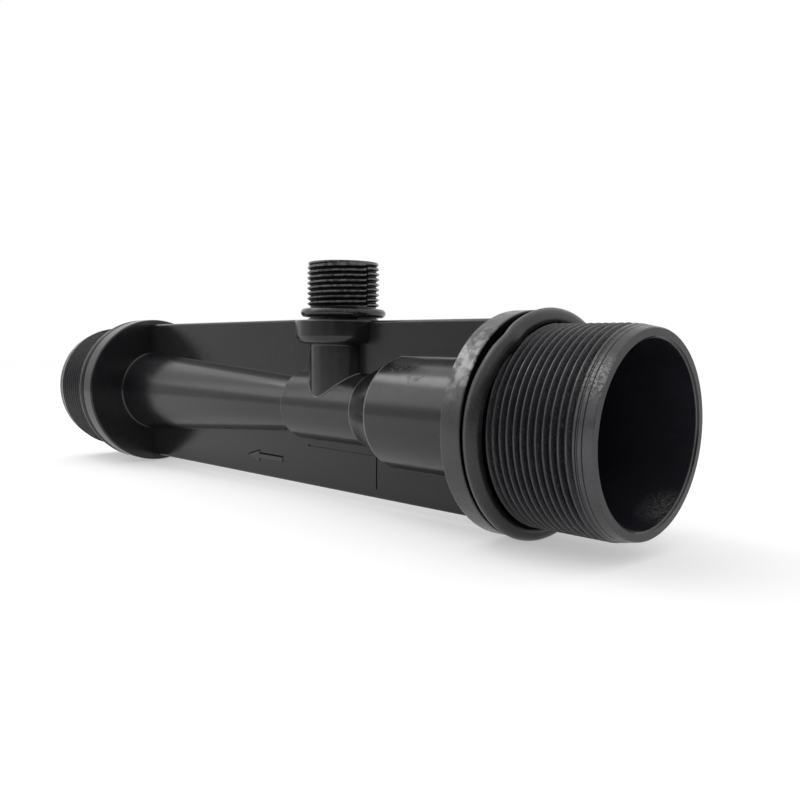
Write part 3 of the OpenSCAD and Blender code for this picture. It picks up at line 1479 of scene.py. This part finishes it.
BODY_FINISHES = {
    Surface.TUBE: MouldedPlastic(
        name="smooth_black_plastic",
        dark=(0.0085, 0.0083, 0.0098, 1),
        pale=(0.0115, 0.0112, 0.0128, 1),
        flow_height=0.035,
        stretch=5,
        grain_size=0.6,
        spots=(
            WearAndSheenSpot((-53, -8.5, 17.2), 8.5, 0.6, (0.012, 0.012, 0.013, 1), 0.75),
            WearAndSheenSpot((-42, -12, 15), 13, 2.6, (0.017, 0.017, 0.0165, 1), 0.34),
        ),
    ),
    Surface.RUBBED: MouldedPlastic(
        name="rubbed_black_plastic",
        dark=(0.032, 0.032, 0.034, 1),
        pale=(0.052, 0.052, 0.054, 1),
        dust=(0.08, 0.08, 0.078, 1),
        gloss=(0.26, 0.45),
        flow_size=5,
        flow_height=0.16,
        grain_size=0.35,
        grain_height=0.008,
        dust_level=0.7,
        spots=(
            # Painted highlight: a pale mottled patch on the inlet flange's rim, where the lamp's sheen
            # falls.
            WearAndSheenSpot((-11, -27, 20), 14, 3.4, (0.36, 0.36, 0.35, 1), 0.4),
            # A broad, lighter mottled patch on the front of the inlet's thread and lead.
            WearAndSheenSpot((29, -27.5, 4), 24, 8, (0.068, 0.068, 0.075, 1), 0.35),
            # Painted highlight: a pale speckled glint on the inlet's lead, where the lamp's reflection
            # falls.
            WearAndSheenSpot((29.8, -24, 16), 7.5, 0.6, (0.24, 0.24, 0.23, 1), 0.4),
        ),
    ),
    # Painted shade: the ends' thread grooves and the lead's lines are darker than the ends' own plastic;
    # the pale speckles are dust.
    Surface.GROOVE: MouldedPlastic(
        name="rough_black_plastic",
        dark=(0.0065, 0.0064, 0.0115, 1),
        pale=(0.0125, 0.0123, 0.018, 1),
        dust=(0.045, 0.045, 0.046, 1),
        gloss=(0.36, 0.55),
        flow_size=3,
        flow_height=0.01,
        grain_size=0.6,
        grain_height=0.12,
        dust_level=0.6,
        spots=(WearAndSheenSpot((27, -20, 20), 22, 0.6, (0.05, 0.05, 0.053, 1), 0.5),),
    ),
    Surface.BORE: MouldedPlastic(
        name="dusty_black_plastic",
        dark=(0.0115, 0.0108, 0.0165, 1),
        pale=(0.016, 0.0149, 0.0218, 1),
        dust=(0.1, 0.1, 0.1, 1),
        gloss=(0.42, 0.55),
        flow_height=0.02,
        grain_height=0.01,
        dust_level=0.74,
        spots=(WearAndSheenSpot((28, 13.5, -21.9), 8.5, 0.7, (0.12, 0.12, 0.12, 1), 0.6),),
    ),
    # Painted highlight: a pale colour on the port thread's ridges, the tube's edges, the column's bead and
    # the bores' mouth edges, where light catches them; the spot's darker blotches break it up on the port
    # thread.
    Surface.EDGE: MouldedPlastic(
        name="pale_rubbed_edge",
        dark=(0.09, 0.09, 0.092, 1),
        pale=(0.15, 0.15, 0.152, 1),
        dust=(0.18, 0.18, 0.18, 1),
        gloss=(0.25, 0.4),
        flow_size=5,
        flow_height=0.01,
        grain_height=0.004,
        dust_level=0.7,
        spots=(WearAndSheenSpot((-90, -11, 44), 22, 1.6, (0.022, 0.022, 0.025, 1), 0.3),),
    ),
    # Painted shade: a near-black colour with weak gloss in the gap at the rings' seats, on the flanges'
    # front faces and between the port thread's ridges.
    Surface.PAINTED_SHADE: MouldedPlastic(
        name="deep_black_plastic",
        dark=(0.003, 0.003, 0.004, 1),
        pale=(0.005, 0.005, 0.0062, 1),
        dust=(0.02, 0.02, 0.021, 1),
        gloss=(0.4, 0.6),
        flow_size=5,
        flow_height=0.01,
        grain_height=0.02,
        dust_level=0.72,
        index=1.25,
    ),
    Surface.FLAT: MouldedPlastic(
        name="flat_black_plastic",
        dark=(0.0135, 0.0133, 0.0148, 1),
        pale=(0.0165, 0.0163, 0.0178, 1),
        stretch=5,
        grain_size=0.6,
        index=1.4,
    ),
}
RING_RUBBER = DullRubber(
    name="dull_black_rubber",
    dark=(0.009, 0.0088, 0.01, 1),
    pale=(0.018, 0.0178, 0.019, 1),
    dust=(0.06, 0.06, 0.059, 1),
    gloss=(0.25, 0.42),
)
DAMP_RUBBER = DullRubber(
    name="damp_black_rubber",
    dark=(0.005, 0.0049, 0.0062, 1),
    pale=(0.009, 0.0088, 0.0105, 1),
    dust=(0.12, 0.12, 0.12, 1),
    gloss=(0.12, 0.3),
)


@dataclass
class MouldedBody:
    """The whole moulding: both ends, the tube with its web and the port, hollowed out."""

    inlet: ThreadedEnd
    outlet: ThreadedEnd
    tube: VenturiTube
    port: SuctionPort
    way: WaterWay
    marks: WebMarks
    name: str = "moulded_body"
    smooth_deg: float = 26.0
    weld: float = 0.0001
    end_reach: float = 0.3
    collar_skin: float = 0.5
    port_side: float = 2.55

    @classmethod
    def from_frame(cls, sizes: Frame) -> "MouldedBody":
        """Fit the moulding's parts to the frame.

        Args:
            sizes: The frame's sizes.

        Returns:
            The moulding.
        """
        inlet_foot, radius, length = sizes.mount("inlet_thread")
        outlet_foot, _, _ = sizes.mount("outlet_thread")
        port_foot, port_radius, port_length = sizes.mount("suction_thread")
        low, high = sizes.body_low, sizes.body_high
        shared = {"thread_radius": radius, "thread_length": length, "flange_radius": -low.z}
        inlet = ThreadedEnd(
            name="inlet_end",
            line=Line.INLET,
            foot=inlet_foot.x,
            mouth=high.x - inlet_foot.x,
            tube_radius=VenturiTube.barrel_radius,
            **shared,
        )
        outlet = ThreadedEnd(
            name="outlet_end",
            line=Line.OUTLET,
            foot=outlet_foot.x,
            mouth=outlet_foot.x - low.x,
            tube_radius=VenturiTube.diffuser_end_radius,
            segments=104,
            bare=Surface.FLAT,
            **shared,
        )
        backs = [end.place(end.flange_back) for end in (inlet, outlet)]
        tube = VenturiTube(*backs, port_foot.x)
        port = SuctionPort(port_foot.x, port_foot.z, port_radius, port_length, high.z)
        marks = WebMarks(front=-tube.web_thickness / 2)
        return cls(inlet, outlet, tube, port, WaterWay(inlet, outlet, port), marks)

    def build(self) -> Piece:
        """Join the solids and cut out the passages and marks.

        Returns:
            The body as one closed mesh.
        """
        body = self.tube.solid()
        body.name = self.name
        join(body, self.marks.arrow_shade(), Joining.CUT)
        added = [self.inlet.solid(), self.outlet.solid(), self.port.solid()]
        added += [self.port.root_bead(self.tube.throat_radius), self.marks.arrow()]
        for part in added:
            join(body, part, Joining.ADD)
        cuts = [self.way.flow_passage(), self.way.suction_passage()]
        cuts += [*self.port.parting_cuts(), *self.marks.mould_lines()]
        for cut in cuts:
            join(body, cut, Joining.CUT)
        body.data.name = self.name
        self.clean(body)
        self.smooth(body)
        return body

    def clean(self, body: Piece) -> None:
        """Take away the loose slivers that the cuts left and the faces without area.

        Args:
            body: The body.
        """
        shape = bmesh.new()
        shape.from_mesh(body.data)
        slivers = set()
        for face in shape.faces:
            corners = set(face.verts)
            if all(set(other.verts) == corners for edge in face.edges for other in edge.link_faces):
                slivers |= corners
        bmesh.ops.delete(shape, geom=list(slivers), context="VERTS")
        bmesh.ops.dissolve_degenerate(shape, dist=self.weld * MM, edges=shape.edges)
        shape.to_mesh(body.data)
        shape.free()

    def smooth(self, body: Piece) -> None:
        """Shade the body smooth between its sharp edges, led by its large faces.

        Args:
            body: The body.
        """
        body.data.shade_smooth()
        body.data.set_sharp_from_angle(angle=math.radians(self.smooth_deg))
        weighted = body.modifiers.new("weighted", "WEIGHTED_NORMAL")
        weighted.mode = "FACE_AREA_WITH_ANGLE"
        weighted.keep_sharp = True
        evaluated(body)

    def surface(self, place: Vector) -> Surface:
        """Tell what kind of surface a place on the body is.

        Args:
            place: The place.

        Returns:
            The kind of surface.
        """
        radius, side = place.yz.length, abs(place.y)
        for end in (self.inlet, self.outlet):
            station = end.station(place.x)
            if station > end.flange_back + self.end_reach:
                if radius > self.way.mouth_radius + self.way.mouth_chamfer / 2:
                    return end.surface(station, radius)
                # A thin band at each bore's mouth edge gets a painted highlight.
                off_edge = abs(station - end.mouth + self.way.mouth_chamfer)
                return Surface.EDGE if off_edge < self.way.edge_half else Surface.BORE
        # The bead at the column's foot gets a painted highlight on the inlet's side.
        if self.port.on_bead(place, self.tube.throat_radius):
            return Surface.EDGE
        off_port = math.hypot(place.x - self.port.station, place.y) - self.port.collar_radius
        under_collar = place.z > 0 and off_port < -self.collar_skin and side > self.port_side
        if place.z > self.port.thread_foot or under_collar:
            return self.port.surface(place)
        return self.tube.surface(place.x, radius, side)

    def dress(self, body: Piece) -> None:
        """Give the tubes and the ends their finishes.

        Args:
            body: The body.
        """
        body.data.materials.clear()
        for surface in Surface:
            body.data.materials.append(BODY_FINISHES[surface].material())
        for face in body.data.polygons:
            face.material_index = self.surface(face.center / MM).value
        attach(body, ROOT)
        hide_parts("body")


@dataclass(frozen=True)
class RingLay:
    """How a ring lies on its seat: tilted, shifted, lifted along a part, kinked or stretched slim."""

    tilt: float = 0.0
    tilt_angle: float = 0.0
    shift: float = 0.0
    lift: float = 0.0
    lift_angle: float = 0.0
    lift_slope: float = 4.0
    lift_edge: float = 2.5
    kink: float = 0.0
    kink_angle: float = 0.0
    kink_width: float = 0.1
    slimmer: float = 0.0

    def shift_at(self, angle: float) -> float:
        """Give how far the ring lies along its line at an angle.

        Args:
            angle: The angle about the line.

        Returns:
            The shift from the ring's flat place.
        """
        tilted = self.tilt * math.cos(angle - self.tilt_angle)
        lifted = math.tanh(self.lift_slope * math.cos(angle - self.lift_angle) - self.lift_edge)
        kinked = math.exp(-(((angle - self.kink_angle) / self.kink_width) ** 2))
        return self.shift + tilted + self.lift * (0.5 + 0.5 * lifted) + self.kink * kinked


@dataclass
class RubberRing:
    """A moulded rubber ring that lies a little askew on its seat."""

    name: str
    node: str
    line: Line
    finish: DullRubber
    lay: RingLay
    flash: float = 0.06
    flash_width: float = 0.16
    segments: int = 160
    section_steps: int = 40

    def build(self, sizes: Frame) -> Piece:
        """Build the ring with the fine flash that its mould left inside and outside.

        Args:
            sizes: The frame's sizes.

        Returns:
            The ring.
        """
        centre, radius, section = sizes.ring(self.node, self.line)
        half, radius = (section - self.lay.slimmer) / 2, radius - self.lay.slimmer / 2
        along, first_side, second_side = self.line.value
        made = ClosedMesh()
        rings = []
        for i in range(self.segments):
            angle = FULL_TURN * i / self.segments
            side = first_side * math.cos(angle) + second_side * math.sin(angle)
            middle = centre + side * radius + along * self.lay.shift_at(angle)
            loop = []
            for j in range(self.section_steps):
                turn = FULL_TURN * j / self.section_steps
                off_seam = math.asin(math.sin(turn))
                reach = half + self.flash * math.exp(-((off_seam / self.flash_width) ** 2))
                loop.append(middle + (side * math.cos(turn) + along * math.sin(turn)) * reach)
            rings.append(made.ring(loop))
        made.row(rings, endless=True)
        piece = made.object(self.name)
        piece.data.shade_smooth()
        return piece

    def dress(self, piece: Piece, material: bpy.types.Material) -> None:
        """Give the ring its rubber and its place in the frame.

        Args:
            piece: The ring.
            material: The rubber.
        """
        piece.data.materials.append(material)
        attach(piece, ROOT)
        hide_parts(self.node)


INLET_LAY = RingLay(
    shift=-1.15,
    lift=2.55,
    lift_angle=math.radians(95),
    kink=0.8,
    kink_angle=math.radians(129),
)
OUTLET_LAY = RingLay(tilt=0.2, tilt_angle=0.6, slimmer=0.7)
SUCTION_LAY = RingLay(tilt=0.08, tilt_angle=math.pi)
RINGS = (
    RubberRing("inlet_ring", "inlet_o_ring", Line.INLET, RING_RUBBER, INLET_LAY),
    RubberRing("outlet_ring", "outlet_o_ring", Line.OUTLET, RING_RUBBER, OUTLET_LAY),
    RubberRing("suction_ring", "suction_o_ring", Line.PORT, DAMP_RUBBER, SUCTION_LAY),
)


@dataclass(frozen=True)
class SoftLamp:
    """A soft lamp, with its power in watts."""

    name: str
    place: Point3
    width: float
    height: float
    power: float

    def hang(self, aim: Vector) -> None:
        """Hang the lamp.

        Args:
            aim: The point it faces.
        """
        light = bpy.data.lights.new(self.name, "AREA")
        light.shape = "RECTANGLE"
        light.size = self.width * MM
        light.size_y = self.height * MM
        light.energy = self.power
        lamp = linked(self.name, light)
        lamp.location = Vector(self.place) * MM
        lamp.rotation_mode = "QUATERNION"
        lamp.rotation_quaternion = (aim - Vector(self.place)).to_track_quat("-Z", "Y")
        lamp.visible_camera = False


@dataclass(frozen=True)
class GreyCard:
    """A grey card round a part of the room, which only gloss shows."""

    name: str
    from_deg: float
    to_deg: float
    top: float
    grey: float
    radius: float = 900.0
    steps: int = 24

    def stand(self, bottom: float) -> None:
        """Stand the card up.

        Args:
            bottom: The height of its bottom edge.
        """
        points = []
        for level in (bottom, self.top):
            for i in range(self.steps + 1):
                turn = math.radians(self.from_deg + (self.to_deg - self.from_deg) * i / self.steps)
                place = Vector((math.sin(turn) * self.radius, -math.cos(turn) * self.radius, level))
                points.append(place * MM)
        row = self.steps + 1
        mesh = bpy.data.meshes.new(self.name)
        mesh.from_pydata(points, [], [(i, i + 1, i + 1 + row, i + row) for i in range(self.steps)])
        card = linked(self.name, mesh)
        material, graph = new_material(self.name)
        paint = graph.node("BsdfDiffuse", Color=(self.grey, self.grey, self.grey, 1))
        graph.node("OutputMaterial", Surface=paint.outputs["BSDF"])
        mesh.materials.append(material)
        card.visible_camera = False
        card.visible_diffuse = False
        card.visible_shadow = False
        card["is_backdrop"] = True


@dataclass
class Studio:
    """A pale floor, a white room, soft lamps, grey cards for the gloss, and the camera."""

    floor_level: float
    floor_side: float = 6000.0
    floor_colour: Colour = (0.74, 0.74, 0.74, 1)
    floor_lift: float = 0.4
    room_light: float = 0.8
    lamp_aim: Point3 = (-100, 0, 0)
    lamps: tuple[SoftLamp, ...] = (
        SoftLamp("key_window", (-420, -260, 880), 500, 500, 0.9),
        SoftLamp("side_window", (-692, -540, 520), 420, 600, 0.78),
        SoftLamp("back_window", (-780, 190, 540), 700, 600, 0.3),
        SoftLamp("bright_pane", (-690, -190, 700), 280, 220, 0.6),
    )
    cards: tuple[GreyCard, ...] = (
        GreyCard("low_wall", -38, -72, 150, 0.88),
        GreyCard("near_left", -38, -8, 420, 0.56),
        GreyCard("near_middle", -8, 25, 420, 0.38),
        GreyCard("near_right", 25, 100, 420, 0.06),
    )
    camera_place: Point3 = (142.534, -203.015, 22.773)
    camera_azimuth: float = 45.432
    camera_elevation: float = 8.055
    camera_roll: float = -0.731
    picture_side: float = 800.0
    focal_pixels: float = 841.262
    axis_row: float = 465.0
    sensor: float = 36.0
    nearest: float = 10.0
    farthest: float = 50000.0

    def seen(self, graph: Graph) -> Socket:
        """Tell the rays that show the room: straight from the camera, mirrored or through glass.

        Args:
            graph: The graph that asks.

        Returns:
            1 for such rays and 0 for others.
        """
        path = graph.node("LightPath").outputs
        mirrored = graph.math("MAXIMUM", path["Is Glossy Ray"], path["Is Transmission Ray"])
        return graph.math("MAXIMUM", path["Is Camera Ray"], mirrored)

    def room(self) -> None:
        """Make the white room, which lights the object a little less than it shows."""
        world = bpy.data.worlds.new("white_room")
        world.use_nodes = True
        bpy.context.scene.world = world
        graph = Graph(world.node_tree)
        strength = graph.spread(self.seen(graph), (0, 1), (self.room_light, 1))
        background = graph.node("Background", Color=(1, 1, 1, 1), Strength=strength)
        graph.node("OutputWorld", Surface=background.outputs["Background"])

    def floor(self) -> None:
        """Make the floor, which keeps the object's shadow."""
        half = self.floor_side / 2 * MM
        level = self.floor_level * MM
        mesh = bpy.data.meshes.new("floor")
        corners = [(-half, -half, level), (half, -half, level), (half, half, level), (-half, half, level)]
        mesh.from_pydata(corners, [], [(0, 1, 2, 3)])
        floor = linked("floor", mesh)
        material, graph = new_material("pale_floor")
        paint = graph.node("BsdfDiffuse", Color=self.floor_colour)
        lift = graph.math("MULTIPLY", self.seen(graph), self.floor_lift)
        glow = graph.node("Emission", Color=(1, 1, 1, 1), Strength=lift)
        both = graph.tree.nodes.new("ShaderNodeAddShader")
        graph.feed(both.inputs[0], paint.outputs["BSDF"])
        graph.feed(both.inputs[1], glow.outputs["Emission"])
        graph.node("OutputMaterial", Surface=both.outputs["Shader"])
        mesh.materials.append(material)
        floor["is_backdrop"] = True

    def camera(self) -> None:
        """Set the camera where the photograph was taken."""
        turn, rise = math.radians(self.camera_azimuth), math.radians(self.camera_elevation)
        back = Vector((math.sin(turn) * math.cos(rise), -math.cos(turn) * math.cos(rise), math.sin(rise)))
        level_right = Vector((math.cos(turn), math.sin(turn), 0))
        level_down = (-back).cross(level_right)
        roll = math.radians(self.camera_roll)
        right = level_right * math.cos(roll) + level_down * math.sin(roll)
        down = level_down * math.cos(roll) - level_right * math.sin(roll)
        turned = Matrix((right, -down, back)).transposed().to_quaternion()
        lens = bpy.data.cameras.new("camera")
        lens.sensor_width = self.sensor
        lens.lens = self.focal_pixels / self.picture_side * self.sensor
        lens.shift_y = self.axis_row / self.picture_side - 0.5
        lens.clip_start = self.nearest * MM
        lens.clip_end = self.farthest * MM
        camera = linked("camera", lens)
        camera.matrix_world = Matrix.LocRotScale(Vector(self.camera_place) * MM, turned, None)
        bpy.context.scene.camera = camera

    def build(self) -> None:
        """Build the studio."""
        bpy.context.scene.view_settings.view_transform = "Standard"
        self.room()
        self.floor()
        for card in self.cards:
            card.stand(self.floor_level)
        for lamp in self.lamps:
            lamp.hang(Vector(self.lamp_aim))
        self.camera()


def build_pieces(sizes: Frame) -> list[Piece]:
    """Build and dress the moulding and the rubber rings.

    Args:
        sizes: The frame's sizes.

    Returns:
        The pieces.
    """
    moulding = MouldedBody.from_frame(sizes)
    pieces = [moulding.build()]
    moulding.dress(pieces[0])
    rubbers = {finish: finish.material() for finish in (RING_RUBBER, DAMP_RUBBER)}
    for ring in RINGS:
        pieces.append(ring.build(sizes))
        ring.dress(pieces[-1], rubbers[ring.finish])
    return pieces


def report(piece: Piece) -> None:
    """Log a piece's name and size.

    Args:
        piece: The piece.
    """
    corners = np.array([vertex.co for vertex in piece.data.vertices]) / MM
    size = corners.max(0) - corners.min(0)
    triangles = sum(len(face.vertices) - 2 for face in piece.data.polygons)
    LOG.info("%s: %.1f x %.1f x %.1f mm, %d triangles", piece.name, *size, triangles)


def main() -> None:
    """Build the pieces and the studio in order, and report each piece."""
    logging.basicConfig(level=logging.INFO, format="%(name)s %(message)s")
    for piece in build_pieces(Frame(frame["record"])):
        report(piece)
    lowest = min(corner.z for corner in (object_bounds()[0], CAD_BOX[0])) / MM
    Studio(floor_level=lowest).build()


if __name__ == "__main__":
    main()
